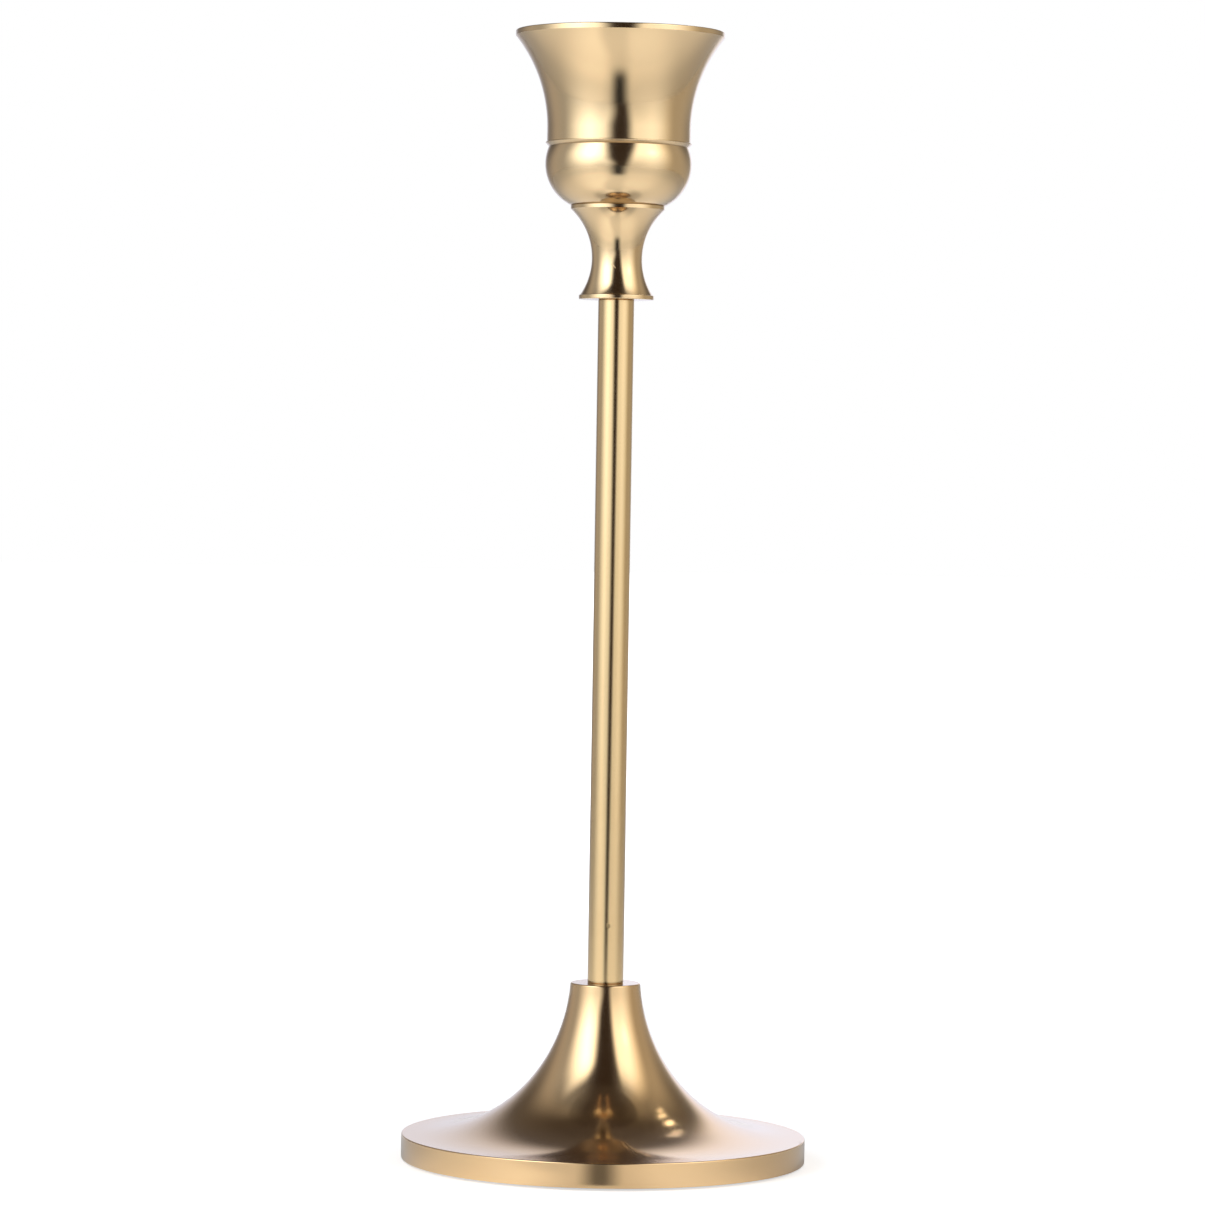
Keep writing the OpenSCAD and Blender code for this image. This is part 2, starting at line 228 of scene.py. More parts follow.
class FastenerSizes(bpy.types.PropertyGroup):
    """Sizes of studs and spring washers"""

    thread_radius: length("Thread radius", "Outer radius of the thread", 2.0 * MM)
    thread_pitch: length("Thread pitch", "Rise of the thread in one turn", 0.7 * MM)
    thread_depth: length("Thread depth", "Depth of the thread", 0.38 * MM)
    stud_length: length("Stud length", "Length of a stud outside its plug", 10.0 * MM)
    stud_bevel: length("Stud bevel", "Bevel on the end of a stud", 0.4 * MM)
    plug_length: length("Plug length", "Length of a plug inside the stem", 12.0 * MM)
    plug_radius: length("Plug radius", "Radius of a plug", 2.97 * MM)
    washer_radius: length("Washer radius", "Outer radius of a spring washer", WASHER_HIGH.y)
    washer_bore: length("Washer bore", "Inner radius of a spring washer", 2.05 * MM)
    washer_split: length("Washer split", "Cut through a spring washer", 0.6 * MM)
    washer_bevel: length("Washer bevel", "Bevel on a spring washer's edges", 0.12 * MM)
    washer_seat: length("Washer seat", "Radius of the seat that takes a spring washer", 3.65 * MM)


class PadSizes(bpy.types.PropertyGroup):
    """Sizes of the rubber pad under the foot"""

    radius: length("Radius", "Radius of the pad", PAD_HIGH.x)
    thickness: length("Thickness", "Thickness of the pad", PAD_HIGH.z)
    edge_round: length("Edge rounding", "Rounding of the pad's edges", 0.4 * MM)


class BrassFinishes(bpy.types.PropertyGroup):
    """Colours and polish of the brass"""

    foot_colour: colour("Foot", "Colour of the foot's brass", (0.84, 0.565, 0.285))
    stem_colour: colour("Stem", "Colour of the stem's brass", (0.84, 0.6, 0.3))
    cup_colour: colour("Cup and neck", "Colour of the cup's and neck's brass", (0.84, 0.603, 0.325))
    socket_colour: colour("Socket", "Colour of the socket's brass", (0.80, 0.60, 0.34))
    foot_roughness: share("Foot roughness", "Roughness of the foot's polish", 0.125)
    stem_roughness: share("Stem roughness", "Roughness of the stem's polish", 0.15)
    cup_roughness: share("Cup roughness", "Roughness of the cup's polish", 0.125)
    socket_roughness: share("Socket roughness", "Roughness of the drawn socket", 0.3)
    lacquer: share("Lacquer", "Weight of the clear lacquer on the polished pieces", 1.0)


class StageLevels(bpy.types.PropertyGroup):
    """Light tent, floor and camera"""

    tent_radius: length("Tent radius", "Radius of the light tent", 1.1)
    tent_height: length("Tent height", "Height of the light tent", 2.9)
    left_panel: share("Left panel", "Brightness of the left panel", 2.9)
    right_panel: share("Right panel", "Brightness of the right panel", 1.6)
    side_walls: share("Side walls", "Brightness of the tent's side walls", 0.4)
    back_card: share("Back card", "Brightness of the white card at the back", 1.0)
    floor_glow: share("Floor glow", "How much white the floor adds for the camera and for mirrors", 0.62)
    camera_distance: length("Camera distance", "Distance of the camera in front of the axis", 1.0726)
    camera_height: length("Camera height", "Height of the camera", 0.1548)
    aim_height: length("Aim height", "Height that the camera looks at", 0.1246)
    lens: share("Lens", "Focal length of the camera in millimetres", 144.09)


class Value:
    """An output of a node, which takes part in sums."""

    def __init__(self, finish, socket):
        self.finish = finish
        self.socket = socket

    def do(self, operation, other=0.0):
        """Add a Math node that works on this value and another."""
        return self.finish.node("Math", {"operation": operation}, {0: self, 1: other})

    def __add__(self, other):
        return self.do("ADD", other)

    __radd__ = __add__

    def __mul__(self, other):
        return self.do("MULTIPLY", other)

    __rmul__ = __mul__

    def __sub__(self, other):
        return self.do("SUBTRACT", other)

    def __rsub__(self, other):
        return self.finish.node("Math", {"operation": "SUBTRACT"}, {0: other, 1: self})

    def __truediv__(self, other):
        return self.do("DIVIDE", other)

    def __pow__(self, other):
        return self.do("POWER", other)

    def __abs__(self):
        return self.do("ABSOLUTE")


class Finish:
    """The node tree of a material or of the world."""

    def __init__(self, owner):
        owner.use_nodes = True
        self.owner = owner
        self.tree = owner.node_tree
        self.tree.nodes.clear()

    def node(self, kind, settings=None, sockets=None, output=0):
        """Add a node of a kind, set it up, fill or link its sockets and give back one output."""
        made = self.tree.nodes.new("ShaderNode" + kind)
        for name, setting in (settings or {}).items():
            setattr(made, name, setting)
        for place, content in (sockets or {}).items():
            if isinstance(content, Value):
                self.tree.links.new(content.socket, made.inputs[place])
            else:
                made.inputs[place].default_value = content
        if kind.startswith("Output"):
            return None
        return Value(self, made.outputs[output])

    def close(self, shader):
        """Lead a shader to the surface of the material."""
        self.node("OutputMaterial", None, {"Surface": shader})
        return self.owner


def new_finish(name):
    """Start a material of a name."""
    return Finish(bpy.data.materials.new(name))


def own_vector(finish):
    """The place on the piece, as a vector."""
    return finish.node("TexCoord", output="Object")


def own_place(vector):
    """The place on the piece, as x, y and z."""
    return (vector.finish.node("SeparateXYZ", None, {0: vector}, axis) for axis in range(3))


def turn_of(x, y):
    """The angle about Z in degrees: 0 at the front, negative on the left."""
    return x.do("ARCTAN2", 0 - y) * (180 / pi)


def reach_of(x, y):
    """The distance from the Z axis."""
    return (x * x + y * y).do("SQRT")


def rise(value, low, high):
    """A smooth step from 0 at low to 1 at high."""
    settings = {"interpolation_type": "SMOOTHSTEP"}
    return value.finish.node("MapRange", settings, {0: value, 1: low, 2: high})


def band(value, low, high, soft):
    """1 between low and high, with soft ends."""
    return rise(value, low, low + soft) * (1 - rise(value, high - soft, high))


def blend(factor, first, second):
    """Mix two colours."""
    finish = factor.finish
    return finish.node("Mix", {"data_type": "RGBA"}, {0: factor, 6: first, 7: second}, 2)


def cloud(vector, scale, detail=3.0, roughness=0.5):
    """A noise of a scale in cells per metre."""
    sockets = {"Vector": vector, "Scale": scale, "Detail": detail, "Roughness": roughness}
    return vector.finish.node("TexNoise", None, sockets)


def opaque(rgb):
    """A colour with its alpha."""
    return (*rgb, 1.0)


def away_from_line(vector, start, end):
    """The distance from the place on the piece to a straight line between two points."""
    finish = vector.finish
    line = Vector(end) - Vector(start)
    place = finish.node("VectorMath", {"operation": "SUBTRACT"}, {0: vector, 1: start})
    along = finish.node("VectorMath", {"operation": "DOT_PRODUCT"}, {0: place, 1: line}, "Value")
    part = (along / line.length_squared).do("MAXIMUM", 0.0).do("MINIMUM", 1.0)
    nearest = finish.node("VectorMath", {"operation": "SCALE"}, {0: line, "Scale": part})
    return finish.node("VectorMath", {"operation": "DISTANCE"}, {0: place, 1: nearest}, "Value")


def brass(name, rgb, roughness, lacquer, marks=()):
    """Brass with slow changes of hue, handling haze, fine turning lines and a few marks, lacquered."""
    finish = new_finish(name)
    vector = own_vector(finish)
    x, y, z = own_place(vector)
    radius = reach_of(x, y)
    turned = finish.node("CombineXYZ", None, {0: radius, 1: 0.0, 2: z})
    warmth = cloud(vector, 45.0, 2.0)
    haze = cloud(vector, 160.0, 4.0, 0.6)
    lines = cloud(turned, 7000.0, 2.0)
    bands = cloud(turned, 900.0, 2.0)
    warmer = opaque((rgb[0], rgb[1] * 0.94, rgb[2] * 0.86))
    tone = blend(rise(warmth, 0.35, 0.75) * 0.35, opaque(rgb), warmer)
    polish = roughness + (haze - 0.5) * 0.05 + (lines - 0.5) * 0.03
    height = (lines - 0.5) * 0.5 + (bands - 0.5) * 0.5
    cover = lacquer
    for start, end, reach, depth, shade, dull in marks:
        line = [[number * MM for number in point] for point in (start, end)]
        away = away_from_line(vector, *line) / (reach * MM) + (haze - 0.5) * 0.8
        dent = 1 - rise(away, 0.45, 1.0)
        height = height - dent * depth
        polish = polish + dent * dull
        cover = cover * (1 - dent)
        tone = blend(dent * 0.8, tone, opaque([part * shade for part in rgb]))
    bump = finish.node("Bump", None, {"Strength": 0.06, "Distance": 0.02 * MM, "Height": height})
    sockets = {"Base Color": tone, "Metallic": 1.0, "Roughness": polish, "Normal": bump}
    sockets.update({"Coat Weight": cover, "Coat Roughness": LACQUER_ROUGHNESS})
    return finish.close(finish.node("BsdfPrincipled", None, sockets))


def steel(name, rgb, roughness, grain, depth):
    """Plain or plated steel with a fine grain."""
    finish = new_finish(name)
    vector = own_vector(finish)
    blotch = cloud(vector, 260.0, 4.0, 0.6)
    fine = cloud(vector, grain, 3.0, 0.6)
    darker = opaque([part * 0.72 for part in rgb])
    tone = blend(rise(blotch, 0.35, 0.75), opaque(rgb), darker)
    polish = roughness + (blotch - 0.5) * 0.2 + (fine - 0.5) * 0.15
    bump = finish.node("Bump", None, {"Strength": 0.5, "Distance": depth, "Height": fine})
    sockets = {"Base Color": tone, "Metallic": 1.0, "Roughness": polish, "Normal": bump}
    return finish.close(finish.node("BsdfPrincipled", None, sockets))


def cast_iron(name):
    """Dark cast iron with a sand-cast skin."""
    finish = new_finish(name)
    vector = own_vector(finish)
    skin = cloud(vector, 900.0, 5.0, 0.65)
    rust = cloud(vector, 120.0, 4.0, 0.6)
    tone = blend(rise(rust, 0.5, 0.8) * 0.6, opaque((0.16, 0.16, 0.17)), opaque((0.17, 0.1, 0.065)))
    polish = 0.55 + skin * 0.3
    bump = finish.node("Bump", None, {"Strength": 0.8, "Distance": 0.2 * MM, "Height": skin})
    sockets = {"Base Color": tone, "Metallic": 0.6, "Roughness": polish, "Normal": bump}
    return finish.close(finish.node("BsdfPrincipled", None, sockets))


def pad_rubber(name):
    """Black foam rubber with fine closed cells."""
    finish = new_finish(name)
    vector = own_vector(finish)
    cells = finish.node("TexVoronoi", None, {"Vector": vector, "Scale": 2200.0})
    dust = cloud(vector, 300.0, 5.0, 0.65)
    tone = blend(rise(dust, 0.45, 0.8) * 0.7, opaque((0.04, 0.04, 0.04)), opaque((0.07, 0.068, 0.066)))
    polish = 0.7 + dust * 0.2
    bump = finish.node("Bump", None, {"Strength": 0.7, "Distance": 0.08 * MM, "Height": cells})
    sockets = {"Base Color": tone, "Roughness": polish, "Normal": bump}
    return finish.close(finish.node("BsdfPrincipled", None, sockets))


def kept(name, make, *values):
    """A material of a name, made the first time that it is asked for."""
    return bpy.data.materials.get(name) or make(name, *values)


def cup_polish(finishes):
    """The brass that neck and cup share, with a nick on the neck."""
    values = (finishes.cup_colour, finishes.cup_roughness, finishes.lacquer, [NICK])
    return kept("cup_polish", brass, *values)


def zinc_steel():
    """The bright zinc of studs, screw and bolt."""
    return kept("zinc_steel", steel, (0.66, 0.66, 0.68), 0.3, 1800.0, 0.01 * MM)


def blued_steel():
    """The blued steel of the spring washers."""
    return kept("blued_steel", steel, (0.36, 0.36, 0.38), 0.34, 2400.0, 0.01 * MM)


def rolled_steel():
    """The plain rolled steel of the bottom plate."""
    return kept("rolled_steel", steel, (0.55, 0.55, 0.56), 0.38, 1200.0, 0.015 * MM)


def arc(centre, radius, start, end, steps):
    """Points of an arc about a centre, from one angle to another, in degrees."""
    angles = [radians(start + (end - start) * step / steps) for step in range(steps + 1)]
    return [(centre[0] + radius * cos(angle), centre[1] + radius * sin(angle)) for angle in angles]


def arc_radius(across, along):
    """Radius of the arc that leaves an upright line and moves sideways by across over a height along."""
    return (across * across + along * along) / (2 * across)


def straight(first, last):
    """A straight line between two points, with a point close to each end that keeps it straight."""
    run = hypot(last[0] - first[0], last[1] - first[1])
    near = HOLD / run
    return [
        tuple(a + (b - a) * part for a, b in zip(first, last)) for part in (0.0, near, 1.0 - near, 1.0)
    ]


def clean(outline):
    """The outline without points that repeat."""
    points = [outline[0]]
    for point in outline[1:]:
        if hypot(point[0] - points[-1][0], point[1] - points[-1][1]) > JOIN_GAP:
            points.append(point)
    return points


def draw_outline(name, outline, start=0.0):
    """Draw a line of points in the upright plane at an angle about Z, as extruded from one point."""
    points = clean(outline)
    across = (cos(start), sin(start))
    spots = [Vector((r * across[0], r * across[1], z)) for r, z in points]
    bpy.ops.object.select_all(action="DESELECT")
    bpy.ops.mesh.primitive_plane_add(size=MM, location=spots[0])
    piece = bpy.context.object
    piece.name = name
    piece.data.name = name
    bpy.ops.object.transform_apply(location=True, rotation=True, scale=True)
    bpy.ops.object.mode_set(mode="EDIT")
    bpy.ops.mesh.select_mode(type="VERT")
    bpy.ops.mesh.select_all(action="SELECT")
    bpy.ops.mesh.merge(type="CENTER")
    for here, there in zip(spots, spots[1:]):
        bpy.ops.mesh.extrude_vertices_move(TRANSFORM_OT_translate={"value": there - here})
    return piece


def tidy_mesh():
    """Merge doubles, turn the faces outwards and smooth all but the sharp edges."""
    bpy.ops.mesh.select_all(action="SELECT")
    bpy.ops.mesh.remove_doubles(threshold=JOIN_GAP)
    bpy.ops.mesh.normals_make_consistent(inside=False)
    bpy.ops.object.mode_set(mode="OBJECT")
    bpy.ops.object.shade_smooth_by_angle(angle=radians(SHARP_ANGLE))


def close_ends():
    """Merge doubles and fill the open ends of the mesh in edit mode."""
    bpy.ops.mesh.select_all(action="SELECT")
    bpy.ops.mesh.remove_doubles(threshold=JOIN_GAP)
    bpy.ops.mesh.fill_holes(sides=0)


def select_faces(piece, wanted):
    """Go into edit mode with only the wanted faces of the active piece selected."""
    bpy.ops.object.mode_set(mode="EDIT")
    bpy.ops.mesh.select_mode(type="FACE")
    bpy.ops.mesh.select_all(action="DESELECT")
    bpy.ops.object.mode_set(mode="OBJECT")
    for face in piece.data.polygons:
        face.select = wanted(face)
    bpy.ops.object.mode_set(mode="EDIT")


def lathe(name, outline, steps=TURN_STEPS, split=0.0):
    """Turn an outline about Z, all the way round or with a split left open at the +X side."""
    piece = draw_outline(name, outline, split / 2)
    bpy.ops.mesh.select_all(action="SELECT")
    bpy.ops.mesh.spin(steps=steps, angle=2 * pi - split, center=(0, 0, 0), axis=(0, 0, 1))
    if split:
        close_ends()
    tidy_mesh()
    return piece


def seat(piece, material, slot, *nodes):
    """Give a piece its finish, and put it in the place of its CAD nodes, on their body."""
    bodies = {frame["nodes"][node]["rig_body"] for node in nodes}
    if len(bodies) != 1:
        raise RuntimeError(f"{piece.name} stands for nodes of more than one body: {sorted(bodies)}")
    piece.data.materials.clear()
    piece.data.materials.append(material)
    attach(piece, bodies.pop())
    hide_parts(*nodes)


def foot_outline(foot, fasteners):
    """The foot's sheet: disc, flare and collar outside, and the same a sheet thickness inside."""
    disc_top = foot.underside + foot.disc_edge
    flare_end = foot.disc_radius - foot.land
    collar_under = foot.collar_height - foot.collar_top
    seat_floor = foot.collar_height - (WASHER_HIGH.z - WASHER_LOW.z)
    guide = [
        (foot.collar_radius, foot.collar_height),
        (foot.collar_radius + foot.collar_lean, foot.collar_height - foot.flare_drop),
        (flare_end - foot.flare_reach, disc_top),
        (flare_end, disc_top),
    ]

    def flare_point(t, inset):
        shares = ((1 - t) ** 3, 3 * t * (1 - t) ** 2, 3 * t * t * (1 - t), t**3)
        r, z = (sum(part * point[axis] for part, point in zip(shares, guide)) for axis in (0, 1))
        slopes = ((1 - t) ** 2, 2 * t * (1 - t), t * t)
        steps = [(b[0] - a[0], b[1] - a[1]) for a, b in zip(guide, guide[1:])]
        run, fall = (sum(part * step[axis] for part, step in zip(slopes, steps)) for axis in (0, 1))
        reach = hypot(run, fall)
        return r + inset * fall / reach, z - inset * run / reach

    times = [1 - step / CURVE_STEPS for step in range(CURVE_STEPS + 1)]
    outer = [flare_point(t, 0.0) for t in times]
    outer = [p for p in outer if p[1] < foot.collar_height - foot.collar_round]
    inner = [flare_point(t, foot.wall) for t in reversed(times)]
    inner = [p for p in inner if p[1] < collar_under]
    low_edge = (foot.disc_radius - foot.disc_round, foot.underside + foot.disc_round)
    high_edge = (foot.disc_radius - foot.disc_round, disc_top - foot.disc_round)
    collar_edge = (foot.collar_radius - foot.collar_round, foot.collar_height - foot.collar_round)
    inner_r = foot.disc_radius - foot.wall
    start = (inner_r, foot.underside)
    lower = arc(low_edge, foot.disc_round, -90, 0, EDGE_STEPS)
    upper = arc(high_edge, foot.disc_round, 0, 90, EDGE_STEPS)
    collar = arc(collar_edge, foot.collar_round, 0, 90, EDGE_STEPS)
    return (
        straight(start, lower[0])
        + lower
        + straight(lower[-1], upper[0])
        + upper
        + straight(upper[-1], outer[0])
        + outer
        + collar
        + straight(collar[-1], (fasteners.washer_seat, foot.collar_height))
        + [(fasteners.washer_seat, seat_floor), (foot.hole_radius, seat_floor)]
        + [(foot.hole_radius, collar_under), (inner[0][0], collar_under)]
        + inner
        + [(inner_r, disc_top - foot.wall), start]
    )


def neck_outline(neck, fasteners):
    """The neck from its flange through its waist to its ring, with the holes for stud and screw."""
    low_r = neck.flange_radius - neck.flange_ledge
    low_z = neck.foot + neck.flange_edge
    high_z = neck.top - neck.ring_edge
    waist_z = neck.foot + neck.waist_height
    low_arc = arc_radius(low_r - neck.waist_radius, waist_z - low_z)
    high_arc = arc_radius(neck.ring_radius - neck.waist_radius, high_z - waist_z)
    low_angle = degrees(asin((waist_z - low_z) / low_arc))
    high_angle = degrees(asin((high_z - waist_z) / high_arc))
    edge = neck.edge_round
    flange_r = neck.flange_radius - edge
    washer_r = fasteners.washer_seat
    seat_z = neck.foot + WASHER_HIGH.z - WASHER_LOW.z
    hole_r = fasteners.washer_bore
    under = arc((flange_r, neck.foot + edge), edge, -90, 0, EDGE_STEPS)
    over = arc((flange_r, low_z - edge), edge, 0, 90, EDGE_STEPS)
    below = arc((neck.waist_radius + low_arc, waist_z), low_arc, 180 + low_angle, 180, CURVE_STEPS // 2)
    above = arc((neck.waist_radius + high_arc, waist_z), high_arc, 180, 180 - high_angle, CURVE_STEPS)
    ring = arc((neck.ring_radius - edge, neck.top - edge), edge, 0, 90, EDGE_STEPS)
    return (
        [(0.0, neck.foot + neck.stud_depth), (hole_r, neck.foot + neck.stud_depth)]
        + [(hole_r, seat_z), (washer_r, seat_z)]
        + [(washer_r, neck.foot)]
        + straight((washer_r, neck.foot), under[0])
        + under
        + straight(under[-1], over[0])
        + over
        + below
        + above
        + straight(above[-1], ring[0])
        + ring
        + straight(ring[-1], (hole_r, neck.top))
        + [(hole_r, neck.top - neck.screw_depth), (0.0, neck.top - neck.screw_depth)]
    )


def cup_outline(cup):
    """The cup's sheet: bowl, groove, ledge, bell and rim outside, and its inside."""
    floor_z = cup.foot + cup.floor
    bowl_arc = arc_radius(cup.bowl_radius - cup.bowl_foot, cup.bowl_height)
    bowl_centre = (cup.bowl_radius - bowl_arc, cup.foot + cup.bowl_height)
    bowl_low = -degrees(asin(cup.bowl_height / bowl_arc))
    bowl_top = degrees(asin((cup.groove_height - cup.bowl_height) / bowl_arc))
    inner_arc = bowl_arc - cup.wall
    inner_low = -degrees(asin((cup.bowl_height - cup.floor) / inner_arc))
    bell_z = cup.foot + cup.bell_height
    lip_z = cup.rim - cup.rim_edge
    bell_arc = arc_radius(cup.rim_radius - cup.bell_radius, lip_z - bell_z)
    bell_centre = (cup.bell_radius + bell_arc, bell_z)
    bell_top = 180 - degrees(asin((lip_z - bell_z) / bell_arc))
    inside_arc = bell_arc + cup.wall
    inside_top = 180 - degrees(asin((cup.rim - bell_z) / inside_arc))
    ledge_round = cup.ledge_proud / 2
    ledge_centre = (cup.bell_radius + cup.ledge_proud - ledge_round, cup.foot + cup.ledge_height)
    rim_round = cup.wall / 4
    bowl = arc(bowl_centre, bowl_arc, bowl_low, bowl_top, CURVE_STEPS)
    ledge = arc(ledge_centre, ledge_round, -45, 90, EDGE_STEPS)
    bell = arc(bell_centre, bell_arc, 180, bell_top, CURVE_STEPS)
    rim = arc((cup.rim_radius - rim_round, cup.rim - rim_round), rim_round, 0, 90, EDGE_STEPS)
    inside = arc(bell_centre, inside_arc, inside_top, 180, CURVE_STEPS)
    bowl_inside = arc(bowl_centre, inner_arc, bowl_top, inner_low, CURVE_STEPS // 2)
    start = (cup.hole_radius, cup.foot)
    return (
        straight(start, bowl[0])
        + bowl
        + straight(bowl[-1], ledge[0])
        + ledge
        + straight((cup.bell_radius, ledge[-1][1]), bell[0])
        + bell
        + straight(bell[-1], rim[0])
        + rim
        + straight(rim[-1], inside[0])
        + inside
        + bowl_inside
        + straight(bowl_inside[-1], (cup.hole_radius, floor_z))
        + [start]
    )


def socket_outline(socket):
    """The drawn socket: bottom with its hole, bend, straight bore and flange."""
    outer_r = socket.bore_radius + socket.wall
    bend_centre = (outer_r - socket.bend, socket.foot + socket.bend)
    flange_z = socket.mouth - socket.wall
    lip = socket.wall / 2
    inner_bend = socket.bend - socket.wall
    start = (socket.hole_radius, socket.foot)
    bend = arc(bend_centre, socket.bend, -90, 0, 2 * EDGE_STEPS)
    mouth = arc((socket.bore_radius + lip, socket.mouth - lip), lip, 90, 180, EDGE_STEPS)
    inside = arc(bend_centre, inner_bend, 0, -90, 2 * EDGE_STEPS)
    return (
        straight(start, bend[0])
        + bend
        + straight(bend[-1], (outer_r, flange_z))
        + [(socket.flange_radius, flange_z), (socket.flange_radius, socket.mouth)]
        + straight((socket.flange_radius, socket.mouth), mouth[0])
        + mouth
        + straight(mouth[-1], inside[0])
        + inside
        + straight(inside[-1], (socket.hole_radius, socket.foot + socket.wall))
        + [start]
    )


class CANDLESTICK_OT_foot(bpy.types.Operator):
    """Turn the flared foot with its collar"""

    bl_idname = "candlestick.foot"
    bl_label = "Foot"

    def execute(self, context):
        scene = context.scene
        finishes = scene.candlestick_brass
        piece = lathe("foot_brass", foot_outline(scene.candlestick_foot, scene.candlestick_fasteners))
        values = (finishes.foot_colour, finishes.foot_roughness, finishes.lacquer, [SCRATCH, SPECK])
        material = brass("foot_polish", *values)
        seat(piece, material, "brass_foot", "foot_shell")
        return {"FINISHED"}


class CANDLESTICK_OT_stem(bpy.types.Operator):
    """Turn the straight stem tube"""

    bl_idname = "candlestick.stem"
    bl_label = "Stem"

    def execute(self, context):
        stem = context.scene.candlestick_stem
        finishes = context.scene.candlestick_brass
        bore = stem.radius - stem.wall
        bevel = stem.edge_bevel
        outline = (
            [(bore, stem.foot), (stem.radius - bevel, stem.foot)]
            + straight((stem.radius, stem.foot + bevel), (stem.radius, stem.top - bevel))
            + [(stem.radius - bevel, stem.top), (bore, stem.top), (bore, stem.foot)]
        )
        piece = lathe("stem_brass", outline)
        values = (finishes.stem_colour, finishes.stem_roughness, finishes.lacquer, [PIT])
        material = brass("stem_polish", *values)
        seat(piece, material, "brass_stem", "stem_tube")
        return {"FINISHED"}


class CANDLESTICK_OT_neck(bpy.types.Operator):
    """Turn the waisted neck between stem and cup"""

    bl_idname = "candlestick.neck"
    bl_label = "Neck"

    def execute(self, context):
        scene = context.scene
        piece = lathe("neck_brass", neck_outline(scene.candlestick_neck, scene.candlestick_fasteners))
        seat(piece, cup_polish(scene.candlestick_brass), "brass_cup", "neck")
        return {"FINISHED"}


class CANDLESTICK_OT_cup(bpy.types.Operator):
    """Turn the bell cup with its bowl"""

    bl_idname = "candlestick.cup"
    bl_label = "Cup"

    def execute(self, context):
        scene = context.scene
        piece = lathe("cup_brass", cup_outline(scene.candlestick_cup))
        seat(piece, cup_polish(scene.candlestick_brass), "brass_cup", "candle_cup")
        return {"FINISHED"}


class CANDLESTICK_OT_socket(bpy.types.Operator):
    """Draw the candle socket inside the cup"""

    bl_idname = "candlestick.socket"
    bl_label = "Socket"

    def execute(self, context):
        finishes = context.scene.candlestick_brass
        piece = lathe("socket_brass", socket_outline(context.scene.candlestick_socket))
        material = brass("socket_satin", finishes.socket_colour, finishes.socket_roughness, 0.0)
        seat(piece, material, "brass_socket", "socket_cup")
        return {"FINISHED"}


class CANDLESTICK_OT_pad(bpy.types.Operator):
    """Cut the rubber pad under the foot"""

    bl_idname = "candlestick.pad"
    bl_label = "Pad"

    def execute(self, context):
        pad = context.scene.candlestick_pad
        edge = pad.edge_round
        under = arc((pad.radius - edge, edge), edge, -90, 0, EDGE_STEPS)
        over = arc((pad.radius - edge, pad.thickness - edge), edge, 0, 90, EDGE_STEPS)
        outline = (
            straight((0.0, 0.0), under[0])
            + under
            + straight(under[-1], over[0])
            + over
            + straight(over[-1], (0.0, pad.thickness))
        )
        piece = lathe("foot_pad", outline)
        seat(piece, pad_rubber("pad_rubber"), "pad", "base_pad")
        return {"FINISHED"}


def threaded_stud(name, sizes, joint_z, way):
    """A plug with a threaded stud, which points up where way is 1 and down where it is -1."""
    root = sizes.thread_radius - sizes.thread_depth
    tip = root - sizes.stud_bevel
    heights = [-sizes.plug_length, 0.0, sizes.stud_length - sizes.stud_bevel, sizes.stud_length]
    plug_z, face_z, bevel_z, end_z = (joint_z + way * height for height in heights)
    bevel = way * sizes.washer_bevel
    plug_edge = sizes.plug_radius - sizes.washer_bevel
    body = lathe(name, [
        (0.0, plug_z), (plug_edge, plug_z), (sizes.plug_radius, plug_z + bevel),
        (sizes.plug_radius, face_z - bevel), (plug_edge, face_z),
        (root, face_z), (root, bevel_z), (tip, end_z), (0.0, end_z),
    ], STUD_STEPS)
    pitch = sizes.thread_pitch
    flank = sizes.thread_depth * sqrt(1 / 3)
    crest = pitch / 8
    ridge_foot = root - THREAD_SUNK
    ridge_start = (ridge_foot, pitch - 2 * flank - crest)
    ridge = [
        ridge_start, (sizes.thread_radius, pitch - flank - crest), (sizes.thread_radius, pitch - flank),
        (ridge_foot, pitch), ridge_start,
    ]
    turns = int(sizes.stud_length / pitch) + 1
    start_z = end_z - way * turns * pitch
    thread = draw_outline(name + "_thread", [(r, start_z + way * z) for r, z in ridge])
    bpy.ops.object.mode_set(mode="OBJECT")
    screw = thread.modifiers.new("thread", "SCREW")
    screw.axis = "Z"
    screw.angle = way * 2 * pi
    screw.screw_offset = way * pitch
    screw.iterations = turns
    screw.steps = THREAD_STEPS
    screw.render_steps = THREAD_STEPS
    bpy.ops.object.modifier_apply(modifier=screw.name)
    for vertex in thread.data.vertices:
        vertex.select = way * (end_z - vertex.co.z) < sizes.stud_bevel
    bpy.ops.object.mode_set(mode="EDIT")
    shrink = ridge_foot / sizes.thread_radius * 0.9
    bpy.ops.transform.resize(value=(shrink, shrink, 1.0), center_override=(0.0, 0.0, end_z))
    close_ends()
    tidy_mesh()
    bpy.ops.object.select_all(action="DESELECT")
    thread.select_set(True)
    body.select_set(True)
    bpy.context.view_layer.objects.active = body
    bpy.ops.object.join()
    return body


class CANDLESTICK_OT_studs(bpy.types.Operator):
    """Cut the two threaded studs of the stem"""

    bl_idname = "candlestick.studs"
    bl_label = "Studs"

    def execute(self, context):
        sizes = context.scene.candlestick_fasteners
        stem = context.scene.candlestick_stem
        for name, node, joint_z, way in (
            ("lower_stud_steel", "lower_stud", stem.foot, -1),
            ("upper_stud_steel", "upper_stud", stem.top, 1),
        ):
            seat(threaded_stud(name, sizes, joint_z, way), zinc_steel(), "steel", node)
        return {"FINISHED"}


